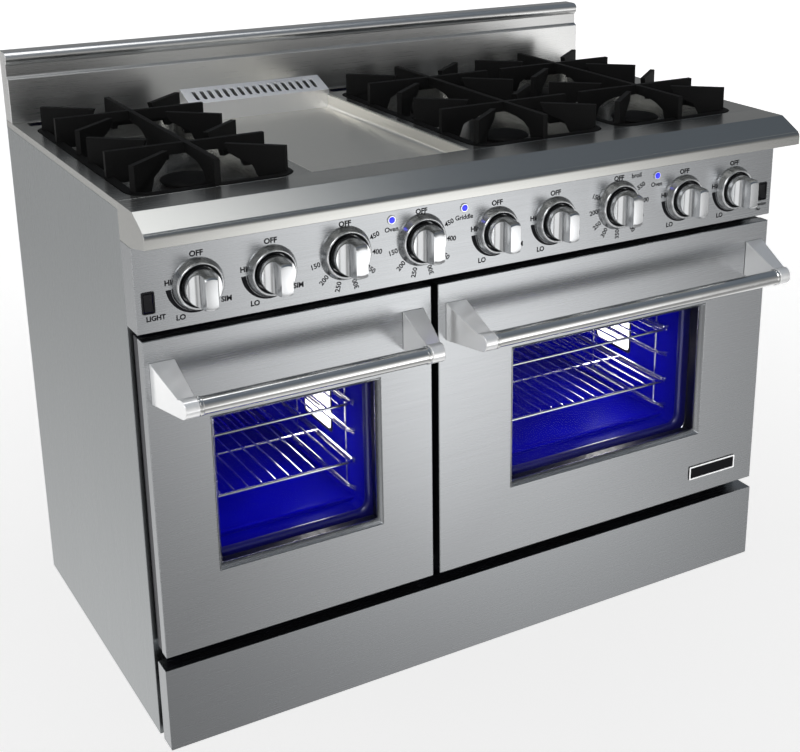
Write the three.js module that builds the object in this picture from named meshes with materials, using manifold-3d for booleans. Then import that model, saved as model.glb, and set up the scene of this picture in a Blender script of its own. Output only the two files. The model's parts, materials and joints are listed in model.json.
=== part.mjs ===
// Freestanding gas range, 48 inch class: two ovens, three pairs of burners and one griddle.
// Millimetres, +Z up, +X to the right as seen from the front, +Y towards the wall.
// Inside the range frame, y = 0 is the front edge of the side panels and z = 0 is the floor.
// The finished group is shifted along y, so its origin is the middle of the bounding box's base.

import * as THREE from 'three';
import { mergeVertices } from 'three/addons/utils/BufferGeometryUtils.js';
import Module from 'manifold-3d';

const wasm = await Module();
wasm.setup();

// ---- Driving dimensions ----

const GAP = 0.3; // clearance kept between separate pieces
const SHEET = 2; // folded sheet metal
const CUT = 5; // how far a cutting solid runs past the face it cuts
const ARC_STEPS = 2; // half the straight steps in each arc of an extruded outline

const WIDTH = 1216;
const HALF = WIDTH / 2;
const DEPTH = 624; // front edge of the side panels to the wall
const BASE_Z = 10; // underside of the panels, above the feet
const PANEL_TOP = 902;
const COOKTOP_TOP = 914;
const BACKGUARD_TOP = 1038.5;
const FLANGE = 20;

const CONTROL = { front: -48, rear: -2, bottom: 723.6, top: 855.6 };
const LEDGE = { flat: -65, nose: -112, slopeEnd: -107.5, slopeZ: 892.4, noseZ: 883, lip: 869.5, base: 856 };
const KICK = { front: -50.6, rear: -15.5, top: 157.4 };

const DOOR = { front: -51.2, split: -30, rear: -10, bottom: 180.6, top: 713.2 };
const WINDOW = { bottom: 309, top: 573, recess: 12, pane: 4, lap: 8 };
const OVENS = [
  {
    name: 'left',
    door: [-603.8, -121.1],
    window: [-506, -217],
    cavity: [-502, -221],
    flange: [-587, -115.2],
    handle: [-595.5, -135.5],
  },
  {
    name: 'right',
    door: [-108.5, 603.8],
    window: [37, 463],
    cavity: [50, 450],
    flange: [-114.6, 587],
    handle: [-94, 591],
  },
];
const CAVITY = { floor: 314, roof: 665, back: 520, wall: 3, flangeBottom: 60, flangeTop: 722 };

const HANDLE = { axisY: -136, axisZ: 634, radius: 14 };
const POST = { width: 39, top: 679, bottom: 613, noseRadius: 15, noseWidth: 22 };

const BURNER_XS = [-451.5, 135, 426];
const GRATE = { width: 265, length: 528, yMid: 268, corner: 36, base: 904.3, rim: 915, top: 955 };
const GRATE_RIM = 14;
const BURNER_OFFSET = 133; // front and rear burners from the middle of their grate
const BLADE = { thickness: 9, depth: 15, shortEnd: 64, slant: 7 };
const WELL = { ledge: 904, floor: 880, slack: 1.5, shelf: 12 };

const GRIDDLE = { x0: -298, x1: -14, y0: 6, y1: 582, split: 529.5, floor: 864, surface: 890, plate: 12 };
const GUARD = { frontZ: 924.6, rearZ: 944, slots: 17, pitch: 15, slotWidth: 7.5, slotLength: 30 };
const VENT = { y0: 548, y1: 577 };

const RACK = { front: 27, depth: 443, rail: 5.5, wire: 3.6, pitch: 24, slack: 3 };
const RACK_LEVELS = [{ name: 'lower', z: 393.5 }, { name: 'upper', z: 501 }];

const BURNER_KNOB_Z = 786;
const THERMOSTAT_KNOB_Z = 793;
const KNOBS = [
  { name: 'burner_1', x: -512, z: BURNER_KNOB_Z, scale: 1 },
  { name: 'burner_2', x: -395, z: BURNER_KNOB_Z, scale: 1 },
  { name: 'left_oven', x: -271, z: THERMOSTAT_KNOB_Z, scale: 1.06 },
  { name: 'griddle', x: -136, z: THERMOSTAT_KNOB_Z, scale: 1.06 },
  { name: 'burner_3', x: 6, z: BURNER_KNOB_Z, scale: 1 },
  { name: 'burner_4', x: 122, z: BURNER_KNOB_Z, scale: 1 },
  { name: 'right_oven', x: 254, z: THERMOSTAT_KNOB_Z, scale: 1.06 },
  { name: 'burner_5', x: 399, z: BURNER_KNOB_Z, scale: 1 },
  { name: 'burner_6', x: 515, z: BURNER_KNOB_Z, scale: 1 },
];
const KNOB = { rear: -5, skirt: -18, front: -57, skirtR: 28.5, tipR: 25.5, blade: 19, boreEnd: -45.5 };
const STEM = { radius: 5, flat: 3.4, tip: -42, root: 11.7, hole: 7 };

const SWITCHES = [{ name: 'light_switch', x: -588.5 }, { name: 'fan_switch', x: 587.5 }];
const ROCKER = { z: 769.5, width: 13.6, height: 26, holeWidth: 15, holeHeight: 29.4, tilt: 7, pivot: -43 };

const MANIFOLD_PIPE = { y: 45, z: 760, radius: 11, reach: 560, valveFront: -36, valve: 26 };
const INLET = { x: 500, z: 700, end: 617, hole: 20 };
const FEET = { x: 560, front: 45, rear: 575, padR: 26, studR: 5, studTop: 60 };
const FAN = { hubR: 16, tipR: 78, blades: 6, y0: 478, y1: 498, z: 500 };

// ---- Materials ----

function material(color, roughness, metalness, extra = {}) {
  return new THREE.MeshStandardMaterial({ color, roughness, metalness, ...extra });
}

const STEEL = material(0xb9bbb9, 0.34, 1);
const DARK_STEEL = material(0x7c7f80, 0.45, 1);
const CHROME = material(0xd8d8d6, 0.12, 1);
const CAST_IRON = material(0x161616, 0.75, 0.2);
const GALVANISED = material(0x8d9092, 0.55, 0.9);
const ENAMEL = material(0x140fa0, 0.22, 0);
const BLACK_ENAMEL = material(0x101012, 0.35, 0);
const KNOB_STEEL = material(0xc9c8c4, 0.22, 1);
const BLACK_PLASTIC = material(0x1a1a1c, 0.4, 0);
const BRASS = material(0xb08d4a, 0.35, 1);
const GLASS = material(0x1b2250, 0.05, 0, { transparent: true, opacity: 0.35 });
const WIRE = material(0xc4c4c0, 0.25, 1);

// ---- Solids ----

// A closed three.js geometry as a solid that can be joined and cut.
function solid(geometry) {
  const bare = geometry.clone();
  bare.deleteAttribute('normal');
  bare.deleteAttribute('uv');
  const merged = mergeVertices(bare, 1e-4);
  const index = merged.index.array;
  const kept = [];
  for (let i = 0; i < index.length; i += 3) {
    const [a, b, c] = [index[i], index[i + 1], index[i + 2]];
    if (a !== b && b !== c && c !== a) kept.push(a, b, c);
  }
  const mesh = new wasm.Mesh({
    numProp: 3,
    vertProperties: Float32Array.from(merged.attributes.position.array),
    triVerts: Uint32Array.from(kept),
  });
  return new wasm.Manifold(mesh);
}

// The solid's triangles as a flat-shaded three.js geometry.
function geometryOf(shape) {
  const { vertProperties, triVerts } = shape.getMesh();
  const indexed = new THREE.BufferGeometry();
  indexed.setAttribute('position', new THREE.BufferAttribute(vertProperties, 3));
  indexed.setIndex(new THREE.BufferAttribute(triVerts, 1));
  const flat = indexed.toNonIndexed();
  flat.computeVertexNormals();
  return flat;
}

function join(...solids) {
  return solids.reduce((whole, next) => whole.add(next));
}

function cut(whole, ...tools) {
  return tools.reduce((rest, tool) => rest.subtract(tool), whole);
}

function box(x0, x1, y0, y1, z0, z1) {
  const geometry = new THREE.BoxGeometry(x1 - x0, y1 - y0, z1 - z0);
  geometry.translate((x0 + x1) / 2, (y0 + y1) / 2, (z0 + z1) / 2);
  return solid(geometry);
}

function outline(points) {
  return new THREE.Shape(points.map(([u, v]) => new THREE.Vector2(u, v)));
}

function extrusion(shape, depth) {
  return new THREE.ExtrudeGeometry(shape, { depth, bevelEnabled: false, curveSegments: ARC_STEPS });
}

// A (y, z) section run along x.
function alongX(points, x0, x1) {
  const geometry = extrusion(outline(points), x1 - x0);
  const turn = new THREE.Matrix4().makeBasis(
    new THREE.Vector3(0, 1, 0),
    new THREE.Vector3(0, 0, 1),
    new THREE.Vector3(1, 0, 0),
  );
  geometry.applyMatrix4(turn);
  geometry.translate(x0, 0, 0);
  return solid(geometry);
}

// A plan (x, y) shape run up from z0 to z1.
function alongZ(shape, z0, z1) {
  const geometry = extrusion(shape, z1 - z0);
  geometry.translate(0, 0, z0);
  return solid(geometry);
}

function turnedAboutY(profile, segments) {
  return solid(new THREE.LatheGeometry(profile.map(([r, h]) => new THREE.Vector2(r, h)), segments));
}

function turnedAboutZ(profile, segments) {
  const geometry = new THREE.LatheGeometry(profile.map(([r, h]) => new THREE.Vector2(r, h)), segments);
  geometry.rotateX(Math.PI / 2);
  return solid(geometry);
}

function rod(radius, y0, y1, segments = 16) {
  return turnedAboutY([[0, y0], [radius, y0], [radius, y1], [0, y1]], segments);
}

function post(radius, z0, z1, segments = 16) {
  return turnedAboutZ([[0, z0], [radius, z0], [radius, z1], [0, z1]], segments);
}

function roundedPlan(xMid, yMid, width, length, radius) {
  const [a, b] = [width / 2 - radius, length / 2 - radius];
  const shape = new THREE.Shape();
  shape.absarc(xMid + a, yMid + b, radius, 0, Math.PI / 2);
  shape.absarc(xMid - a, yMid + b, radius, Math.PI / 2, Math.PI);
  shape.absarc(xMid - a, yMid - b, radius, Math.PI, Math.PI * 1.5);
  shape.absarc(xMid + a, yMid - b, radius, Math.PI * 1.5, Math.PI * 2);
  return shape;
}

// ---- Assembly ----

const range = new THREE.Group();

function add(name, shape, finish, x = 0, y = 0, z = 0) {
  const mesh = new THREE.Mesh(geometryOf(shape), finish);
  mesh.name = name;
  mesh.position.set(x, y, z);
  range.add(mesh);
}

// ---- Cabinet ----

function addSidePanels() {
  const rear = DEPTH - SHEET - GAP;
  const section = [
    [HALF, 0],
    [HALF, rear],
    [HALF - FLANGE, rear],
    [HALF - FLANGE, rear - SHEET],
    [HALF - SHEET, rear - SHEET],
    [HALF - SHEET, SHEET],
    [HALF - FLANGE, SHEET],
    [HALF - FLANGE, 0],
  ];
  for (const [name, side] of [['left_side_panel', -1], ['right_side_panel', 1]]) {
    const points = section.map(([x, y]) => [side * x, y]);
    add(name, alongZ(outline(points), BASE_Z, PANEL_TOP), STEEL);
  }
}

function addRearPanel() {
  const slotRows = [130, 160, 800, 830];
  const slotWidth = 130;
  const slotHeight = 9;
  const slotPitch = 180;
  let panel = box(-HALF, HALF, DEPTH - SHEET, DEPTH, BASE_Z, COOKTOP_TOP);
  for (const z of slotRows) {
    for (let i = -2; i <= 2; i += 1) {
      const [x0, x1] = [i * slotPitch - slotWidth / 2, i * slotPitch + slotWidth / 2];
      panel = cut(panel, box(x0, x1, DEPTH - CUT, DEPTH + CUT, z, z + slotHeight));
    }
  }
  const inletHole = rod(INLET.hole, DEPTH - CUT, DEPTH + CUT).translate([INLET.x, 0, INLET.z]);
  add('rear_panel', cut(panel, inletHole), GALVANISED);
}

function addBasePan() {
  const [x, y0, y1] = [HALF - SHEET - GAP, SHEET + GAP, DEPTH - 2 * SHEET - 2 * GAP];
  const wallTop = 40;
  const inside = box(-x + SHEET, x - SHEET, y0 + SHEET, y1 - SHEET, BASE_Z + SHEET, wallTop + CUT);
  let pan = cut(box(-x, x, y0, y1, BASE_Z, wallTop), inside);
  for (const [fx, fy] of footPlaces()) {
    pan = cut(pan, post(FEET.studR + GAP, BASE_Z - CUT, wallTop).translate([fx, fy, 0]));
  }
  add('base_pan', pan, GALVANISED);
}

function footPlaces() {
  return [[-FEET.x, FEET.front], [FEET.x, FEET.front], [-FEET.x, FEET.rear], [FEET.x, FEET.rear]];
}

// A levelling foot: a round pad on a stud that screws through the base pan.
function addFeet() {
  const padTop = BASE_Z - GAP;
  const profile = [
    [0, 0],
    [FEET.padR, 0],
    [FEET.padR, 4],
    [FEET.padR - 6, padTop],
    [FEET.studR, padTop],
    [FEET.studR, FEET.studTop],
    [0, FEET.studTop],
  ];
  const names = ['front_left_foot', 'front_right_foot', 'rear_left_foot', 'rear_right_foot'];
  footPlaces().forEach(([x, y], i) => add(names[i], turnedAboutZ(profile, 16), DARK_STEEL, x, y));
}

function addKickPanel() {
  const x = HALF - 1;
  const [bracketX, bracketWidth] = [420, 60];
  const shell = cut(
    box(-x, x, KICK.front, KICK.rear, BASE_Z, KICK.top),
    box(-x + SHEET, x - SHEET, KICK.front + SHEET, KICK.rear + CUT, BASE_Z + SHEET, KICK.top - SHEET),
  );
  const brackets = [-bracketX, bracketX].map((middle) =>
    box(middle - bracketWidth / 2, middle + bracketWidth / 2, KICK.front + SHEET / 2, SHEET, 20, 20 + SHEET));
  add('kick_panel', join(shell, ...brackets), STEEL);
}

// The rear trim: an upright front face, a dark recessed band and a rolled cap.
function addBackguard() {
  const [face, foot] = [583.6, COOKTOP_TOP + GAP];
  const [bandLow, bandHigh, bandDepth] = [992, 1016, 7];
  const rollR = 11.25;
  const roll = [];
  for (let i = 0; i <= 6; i += 1) {
    const turn = Math.PI * (1.25 - i / 8);
    roll.push([face + rollR + rollR * Math.cos(turn), BACKGUARD_TOP - rollR + rollR * Math.sin(turn)]);
  }
  const section = [
    [DEPTH, foot],
    [DEPTH, BACKGUARD_TOP],
    ...roll.reverse(),
    [face + bandDepth, bandHigh],
    [face + bandDepth, bandLow + 4],
    [face, bandLow],
    [face, foot],
  ];
  const hollow = [
    [DEPTH - SHEET, foot - CUT],
    [DEPTH - SHEET, BACKGUARD_TOP - SHEET],
    [face + rollR, BACKGUARD_TOP - SHEET],
    [face + bandDepth + SHEET, bandHigh + SHEET],
    [face + bandDepth + SHEET, bandLow],
    [face + SHEET, bandLow - SHEET],
    [face + SHEET, foot - CUT],
  ];
  const shell = cut(alongX(section, -HALF, HALF), alongX(hollow, -HALF + SHEET, HALF - SHEET));
  add('backguard', shell, STEEL);
}

// ---- Cooktop ----

function wellCutter(xMid, grow, drop) {
  const width = GRATE.width + 2 * WELL.slack + 2 * grow;
  const length = GRATE.length + 2 * WELL.slack + 2 * grow;
  const shelf = roundedPlan(xMid, GRATE.yMid, width, length, GRATE.corner + grow);
  const tub = roundedPlan(xMid, GRATE.yMid, width - 2 * WELL.shelf, length - 2 * WELL.shelf, GRATE.corner);
  const top = COOKTOP_TOP - drop;
  return join(alongZ(shelf, WELL.ledge - grow, top), alongZ(tub, WELL.floor - grow, top));
}

function griddleWell(grow, drop) {
  const { x0, x1, y0, y1, floor } = GRIDDLE;
  return box(x0 - grow, x1 + grow, y0 - grow, y1 + grow, floor - grow, COOKTOP_TOP - drop);
}

// One pressed sheet with folded edges, three grate wells, the griddle well and the rear vent slots.
function addCooktop() {
  const rear = DEPTH - SHEET - GAP;
  const low = PANEL_TOP + GAP;
  const sheet = cut(
    box(-HALF, HALF, 0, rear, low, COOKTOP_TOP),
    box(-HALF + SHEET, HALF - SHEET, SHEET, rear - SHEET, low - CUT, COOKTOP_TOP - SHEET),
  );
  const tubs = BURNER_XS.map((x) => wellCutter(x, SHEET, SHEET / 2));
  let top = join(sheet, ...tubs, griddleWell(SHEET, SHEET / 2));
  top = cut(top, ...BURNER_XS.map((x) => wellCutter(x, 0, -CUT)), griddleWell(0, -CUT));
  for (const x of BURNER_XS) {
    const half = GRATE.width / 2;
    top = cut(top, box(x - half, x + half, VENT.y0, VENT.y1, low - CUT, COOKTOP_TOP + CUT));
    for (const side of [-1, 1]) {
      const hole = post(16, WELL.floor - CUT, WELL.floor + CUT, 12);
      top = cut(top, hole.translate([x, GRATE.yMid + side * BURNER_OFFSET, 0]));
    }
  }
  add('cooktop', top, STEEL);
}

// Bullnose front ledge: flat top, sloped apron, rounded nose and an underside that runs back.
function addLedge() {
  const noseArc = [];
  const noseR = 10;
  for (let i = 0; i <= 3; i += 1) {
    const turn = Math.PI * (0.66 + 0.34 * (i / 3));
    noseArc.push([LEDGE.nose + noseR + noseR * Math.cos(turn), LEDGE.noseZ + noseR * Math.sin(turn)]);
  }
  const section = [
    [-GAP, COOKTOP_TOP],
    [LEDGE.flat, COOKTOP_TOP],
    [LEDGE.slopeEnd, LEDGE.slopeZ],
    ...noseArc.slice(1),
    [LEDGE.nose, LEDGE.lip],
    [CONTROL.front, LEDGE.base],
    [-GAP, LEDGE.base],
  ];
  const hollow = [
    [CUT, COOKTOP_TOP - SHEET],
    [LEDGE.flat, COOKTOP_TOP - SHEET],
    [LEDGE.nose + 3 * SHEET, LEDGE.slopeZ - 2 * SHEET],
    [LEDGE.nose + SHEET, LEDGE.lip + SHEET],
    [CONTROL.front, LEDGE.base + SHEET],
    [CUT, LEDGE.base + SHEET],
  ];
  add('front_ledge', cut(alongX(section, -HALF, HALF), alongX(hollow, -HALF + SHEET, HALF - SHEET)), STEEL);
}

// A cast grate over two burners: a flat rim, a middle bar and eight upright blades round each burner.
// Four blades cross over the burner's centre, and the four between them stop short of it.
function addGrates() {
  const halfW = GRATE.width / 2;
  const halfL = GRATE.length / 2;
  const outer = roundedPlan(0, 0, GRATE.width, GRATE.length, GRATE.corner);
  const [innerWidth, innerLength] = [GRATE.width - 2 * GRATE_RIM, GRATE.length - 2 * GRATE_RIM];
  const inner = roundedPlan(0, 0, innerWidth, innerLength, GRATE.corner - GRATE_RIM);
  const rim = cut(alongZ(outer, 0, GRATE.rim - GRATE.base), alongZ(inner, -CUT, COOKTOP_TOP));
  const middle = box(-halfW + 4, halfW - 4, -GRATE_RIM / 2, GRATE_RIM / 2, 0, GRATE.rim - GRATE.base);
  const parts = [rim, middle];
  const tips = [
    [halfW - 3, 0],
    [halfW - 10, BURNER_OFFSET - 27],
    [0, BURNER_OFFSET - 3],
  ];
  for (const end of [-1, 1]) {
    for (const [tx, ty] of tips) {
      for (const [sx, sy] of [[1, 1], [-1, 1], [1, -1], [-1, -1]]) {
        const mirrored = (sx < 0 && tx === 0) || (sy < 0 && ty === 0);
        const inwards = end * sy < 0;
        const reachY = inwards ? Math.min(ty, BURNER_OFFSET - 20) : ty;
        const bothMeet = inwards && tx === 0;
        const tipY = bothMeet ? BURNER_OFFSET : reachY;
        const isShort = tx > 0 && ty > 0;
        if (!mirrored) parts.push(blade(sx * tx, sy * tipY, isShort).translate([0, end * BURNER_OFFSET, 0]));
      }
    }
  }
  const names = ['left_grate', 'middle_grate', 'right_grate'];
  const grate = join(...parts);
  BURNER_XS.forEach((x, i) => add(names[i], grate, CAST_IRON, x, GRATE.yMid, GRATE.base));
}

// An upright blade from the point (x, y) in towards the burner's centre, with an arched underside.
function blade(x, y, isShort) {
  const reach = Math.hypot(x, y);
  const height = GRATE.top - GRATE.base;
  const rise = height - BLADE.depth;
  const end = isShort ? BLADE.shortEnd : -BLADE.thickness / 2;
  const lowerEnd = isShort ? end + BLADE.slant : end;
  const arch = [[0.38, 3], [0.52, 7], [0.66, 16]].map(([part, drop]) => [reach * part, rise - drop]);
  const section = [
    [end, height],
    [lowerEnd, rise],
    ...arch.filter(([along]) => along > lowerEnd),
    [reach * 0.72, 0],
    [reach, 0],
    [reach, height],
  ];
  const geometry = extrusion(outline(section), BLADE.thickness);
  geometry.translate(0, 0, -BLADE.thickness / 2);
  geometry.rotateX(Math.PI / 2);
  geometry.rotateZ(Math.atan2(y, x));
  return solid(geometry);
}

// An open burner: mixer neck through the well's floor, ported head and loose cap.
function addBurners() {
  const profile = [
    [0, -22],
    [12, -22],
    [12, -2],
    [12, 0.3],
    [40, 0.3],
    [43, 4],
    [36, 9],
    [43, 10],
    [44, 14],
    [38, 18.5],
    [0, 20],
  ];
  const head = turnedAboutZ(profile, 16);
  BURNER_XS.forEach((x, i) => {
    const column = ['left', 'middle', 'right'][i];
    add(`${column}_front_burner`, head, CAST_IRON, x, GRATE.yMid - BURNER_OFFSET, WELL.floor);
    add(`${column}_rear_burner`, head, CAST_IRON, x, GRATE.yMid + BURNER_OFFSET, WELL.floor);
  });
}

// The griddle: a thick plate with low splash walls at its sides and front.
function addGriddle() {
  const [x0, x1] = [GRIDDLE.x0 + GAP, GRIDDLE.x1 - GAP];
  const [y0, y1] = [GRIDDLE.y0 + GAP, GRIDDLE.split - GAP];
  const wall = 4;
  const low = GRIDDLE.surface - GRIDDLE.plate;
  const wallTop = COOKTOP_TOP - 1;
  const tray = cut(
    box(x0, x1, y0, y1, low, wallTop),
    box(x0 + wall, x1 - wall, y0 + wall, y1 + CUT, GRIDDLE.surface, wallTop + CUT),
  );
  add('griddle_plate', tray, STEEL);
}

// The flue guard behind the griddle: upright front wall and a sloped top with a row of slots.
function addGriddleGuard() {
  const [x0, x1] = [GRIDDLE.x0 + GAP, GRIDDLE.x1 - GAP];
  const rear = GRIDDLE.y1 - GAP;
  const foot = GRIDDLE.floor + GAP;
  const front = GRIDDLE.split + GAP;
  const section = [[front, foot], [rear, foot], [rear, GUARD.rearZ], [front, GUARD.frontZ]];
  const drop = SHEET * 1.15;
  const hollow = [
    [front + SHEET, foot - CUT],
    [rear + CUT, foot - CUT],
    [rear + CUT, GUARD.rearZ + 1 - drop],
    [front + SHEET, GUARD.frontZ + 1 - drop],
  ];
  let guard = cut(alongX(section, x0, x1), alongX(hollow, x0 + SHEET, x1 - SHEET));
  const xMid = (x0 + x1) / 2;
  const yMid = (front + rear) / 2;
  const [w, l] = [GUARD.slotWidth, GUARD.slotLength];
  for (let i = 0; i < GUARD.slots; i += 1) {
    const x = xMid + (i - (GUARD.slots - 1) / 2) * GUARD.pitch;
    const slot = new THREE.Shape();
    slot.absarc(x, yMid + l / 2 - w / 2, w / 2, 0, Math.PI);
    slot.absarc(x, yMid - l / 2 + w / 2, w / 2, Math.PI, Math.PI * 2);
    guard = cut(guard, alongZ(slot, GUARD.frontZ - 10, GUARD.rearZ + CUT));
  }
  add('griddle_guard', guard, STEEL);
}

// ---- Control panel ----

function addControlPanel() {
  const shell = cut(
    box(-HALF, HALF, CONTROL.front, CONTROL.rear, CONTROL.bottom, CONTROL.top),
    box(
      -HALF + SHEET,
      HALF - SHEET,
      CONTROL.front + SHEET,
      CONTROL.rear + CUT,
      CONTROL.bottom + SHEET,
      CONTROL.top - SHEET,
    ),
  );
  const stemHoles = KNOBS.map(({ x, z }) =>
    rod(STEM.hole, CONTROL.front - CUT, CONTROL.front + CUT).translate([x, 0, z]));
  const [w, h] = [ROCKER.holeWidth / 2, ROCKER.holeHeight / 2];
  const switchHoles = SWITCHES.map(({ x }) =>
    box(x - w, x + w, CONTROL.front - CUT, CONTROL.front + CUT, ROCKER.z - h, ROCKER.z + h));
  add('control_panel', cut(shell, ...stemHoles, ...switchHoles), STEEL);
}

// A round shaft with one flat along it, wider by grow all round.
function flattedShaft(y0, y1, grow) {
  const shaft = rod(STEM.radius + grow, y0, y1);
  const flat = STEM.flat + grow;
  return cut(shaft, box(-20, 20, y0 - CUT, y1 + CUT, flat, 20));
}

// Each control: a valve stem with a flat on it, and a knob with a blade grip that slides on it.
function addControls() {
  for (const { name, x, z, scale } of KNOBS) {
    const [r, tip] = [KNOB.skirtR * scale, KNOB.tipR * scale];
    const skirt = turnedAboutY([
      [0, KNOB.skirt],
      [r - 1, KNOB.skirt],
      [r, KNOB.skirt + 2],
      [r, KNOB.rear],
      [0, KNOB.rear],
    ], 20);
    const dome = turnedAboutY([
      [0, KNOB.front],
      [tip - 3, KNOB.front],
      [tip, KNOB.front + 3],
      [r - 1, KNOB.skirt + 1],
      [0, KNOB.skirt + 1],
    ], 20);
    const slab = box(-KNOB.blade / 2, KNOB.blade / 2, KNOB.front - CUT, KNOB.skirt + CUT, -r, r);
    const bore = flattedShaft(KNOB.boreEnd, KNOB.rear + CUT, GAP);
    const knob = cut(join(skirt, dome.intersect(slab)), bore);
    add(`${name}_knob`, knob, KNOB_STEEL, x, CONTROL.front, z);
    add(`${name}_stem`, flattedShaft(STEM.tip, STEM.root, 0), BRASS, x, CONTROL.front, z);
  }
}

// A rocker paddle, tilted to its off position about a pivot just behind the panel.
function addSwitches() {
  const [w, h] = [ROCKER.width / 2, ROCKER.height / 2];
  const section = [[10, -4], [10, 4], [0, h], [-7, h], [-5, 0], [-7, -h], [0, -h]];
  const paddle = alongX(section, -w, w).rotate([-ROCKER.tilt, 0, 0]);
  for (const { name, x } of SWITCHES) {
    add(name, paddle, BLACK_PLASTIC, x, ROCKER.pivot, ROCKER.z);
  }
}

// The gas rail: one pipe, a valve body behind each knob, and the inlet that runs to the rear wall.
function addGasManifold() {
  const { y, z, radius, reach, valve, valveFront } = MANIFOLD_PIPE;
  const rail = rod(radius, -reach, reach, 10).rotate([0, 0, 90]).translate([0, y, z]);
  const parts = [rail];
  for (const knob of KNOBS) {
    const half = valve / 2;
    parts.push(box(knob.x - half, knob.x + half, valveFront, y, knob.z - half - 14, knob.z + half));
  }
  const drop = post(radius, INLET.z, z, 10).translate([INLET.x, y, 0]);
  const run = rod(radius, y - radius, INLET.end, 10).translate([INLET.x, 0, INLET.z]);
  add('gas_manifold', join(...parts, drop, run), BRASS);
}

// ---- Ovens ----

// One oven: a box liner, open to the front, whose front flange closes the cabinet round it.
function addOvenLiner({ name, cavity: [x0, x1], flange: [flange0, flange1] }) {
  const { floor, roof, back, wall, flangeBottom, flangeTop } = CAVITY;
  const flange = box(flange0, flange1, 0, wall, flangeBottom, flangeTop);
  const shell = box(x0 - wall, x1 + wall, wall / 2, back + wall, floor - wall, roof + wall);
  let liner = cut(join(flange, shell), box(x0, x1, -CUT, back, floor, roof));
  if (name === 'right') {
    const fanShaftHole = rod(10, back - CUT, back + wall + CUT);
    liner = cut(liner, fanShaftHole.translate([(x0 + x1) / 2, 0, FAN.z]));
  }
  add(`${name}_oven_liner`, liner, ENAMEL);
}

// A wire rack: front, rear and side rails with wires laid across them from front to back.
function addRacks({ name, cavity: [x0, x1] }) {
  const half = (x1 - x0) / 2 - RACK.slack;
  const xMid = (x0 + x1) / 2;
  const { depth, rail, wire, pitch } = RACK;
  const parts = [
    box(-half, half, 0, rail, -rail / 2, rail / 2),
    box(-half, half, depth - rail, depth, -rail / 2, rail / 2),
    box(-half, -half + rail, 0, depth, -rail / 2, rail / 2),
    box(half - rail, half, 0, depth, -rail / 2, rail / 2),
  ];
  const count = Math.floor((2 * half - 2 * rail) / pitch);
  for (let i = 0; i < count; i += 1) {
    const x = (i - (count - 1) / 2) * pitch;
    parts.push(box(x - wire / 2, x + wire / 2, 0.6, depth - 0.6, rail / 2 - 1, rail / 2 + wire - 1));
  }
  const rack = join(...parts);
  for (const level of RACK_LEVELS) {
    add(`${name}_${level.name}_rack`, rack, WIRE, xMid, RACK.front, level.z);
  }
}

// A drop-down door: outer skin with a recessed window, glass, inner liner and a bar handle.
function addDoor({ name, door: [x0, x1], window: [w0, w1], handle: barEnds }) {
  const { front, split, rear, bottom, top } = DOOR;
  const paneFront = front + WINDOW.recess + GAP;
  const window = (grow, y0, y1) =>
    box(w0 - grow, w1 + grow, y0, y1, WINDOW.bottom - grow, WINDOW.top + grow);
  const skin = join(
    cut(
      box(x0, x1, front, split - GAP, bottom, top),
      box(x0 + SHEET, x1 - SHEET, front + SHEET, split + CUT, bottom + SHEET, top - SHEET),
    ),
    window(SHEET, front + SHEET / 2, front + WINDOW.recess),
  );
  add(`${name}_door_skin`, cut(skin, window(0, front - CUT, split + CUT)), STEEL);

  const pane = window(WINDOW.lap, paneFront, paneFront + WINDOW.pane);
  add(`${name}_door_glass`, pane, GLASS);

  const liner = join(
    cut(
      box(x0 + 1, x1 - 1, split, rear, bottom + 1, top - 1),
      box(x0 + 1 + SHEET, x1 - 1 - SHEET, split - CUT, rear - SHEET, bottom + 1 + SHEET, top - 1 - SHEET),
    ),
    window(SHEET + 2, split, rear - SHEET / 2),
  );
  add(`${name}_door_liner`, cut(liner, window(2, split - CUT, rear + CUT)), BLACK_ENAMEL);

  add(`${name}_door_handle`, barHandle(...barEnds), CHROME);
}

// A bar between two wedge posts that slope down from the door and lean in to the bar's ends.
function barHandle(x0, x1) {
  const { axisY, axisZ, radius } = HANDLE;
  const { width, top, bottom, noseRadius, noseWidth } = POST;
  const root = DOOR.front - GAP;
  const noseArc = [];
  for (let i = 0; i <= 6; i += 1) {
    const turn = Math.PI * (0.35 + 1.15 * (i / 6));
    noseArc.push([axisY + noseRadius * Math.cos(turn), axisZ + noseRadius * Math.sin(turn)]);
  }
  const section = [[root, bottom], [root, top], ...noseArc];
  const nose = axisY - noseRadius;
  const wedge = (outer, inwards) => {
    const inner = outer + inwards * width;
    const plan = outline([[outer, root], [inner, root], [inner, nose], [inner - inwards * noseWidth, nose]]);
    const [low, high] = [Math.min(outer, inner), Math.max(outer, inner)];
    return alongX(section, low, high).intersect(alongZ(plan, bottom - CUT, top + CUT));
  };
  const bar = rod(radius, x0 + width - CUT, x1 - width + CUT, 20).rotate([0, 0, -90]);
  return join(bar.translate([0, axisY, axisZ]), wedge(x0, 1), wedge(x1, -1));
}

// The convection fan on the right oven's rear wall.
function addFan() {
  const { cavity } = OVENS.find(({ name }) => name === 'right');
  const disc = rod(FAN.tipR - 6, FAN.y1 - 3, FAN.y1, 24);
  const hub = rod(FAN.hubR, FAN.y0, FAN.y1, 16);
  const shaft = rod(6, FAN.y1, CAVITY.back + 40, 12);
  const blades = [];
  for (let i = 0; i < FAN.blades; i += 1) {
    const vane = box(FAN.hubR - 4, FAN.tipR, FAN.y0 + 2, FAN.y1 - 1, -1.5, 1.5);
    blades.push(vane.rotate([0, (360 / FAN.blades) * i, 0]));
  }
  add('convection_fan', join(disc, hub, shaft, ...blades), DARK_STEEL, (cavity[0] + cavity[1]) / 2, 0, FAN.z);
}

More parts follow.
